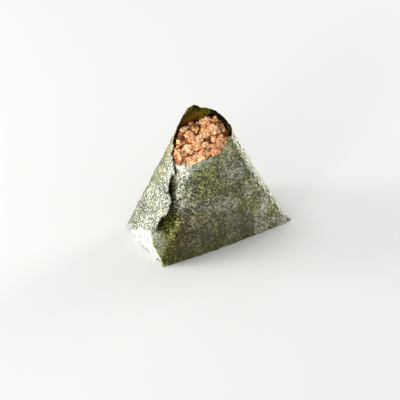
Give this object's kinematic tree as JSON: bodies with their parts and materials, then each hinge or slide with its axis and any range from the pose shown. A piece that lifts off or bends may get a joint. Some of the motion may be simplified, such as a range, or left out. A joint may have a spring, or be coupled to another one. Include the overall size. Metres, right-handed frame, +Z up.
{
  "type": "onigiri rice ball",
  "caption": "Triangular pressed-rice onigiri wrapped in one sheet of nori, open at the top on a filling of flaked salmon.",
  "frame": {"origin": "middle of the rice block's flat base, on the surface it stands on", "axes": "+Z up, +X along the foot of the front face towards its right end, the front face looks along -Y"},
  "size_m": [0.0986, 0.0486, 0.0874],
  "materials": {
    "rice": "moist cooked short-grain rice",
    "nori": "toasted seaweed sheet, mottled, slightly glossy",
    "filling": "flaked cooked salmon, crumbly and moist"
  },
  "bodies": {
    "root": {"rice": "rice", "nori": "nori", "filling": "filling"}
  },
  "joints": []
}
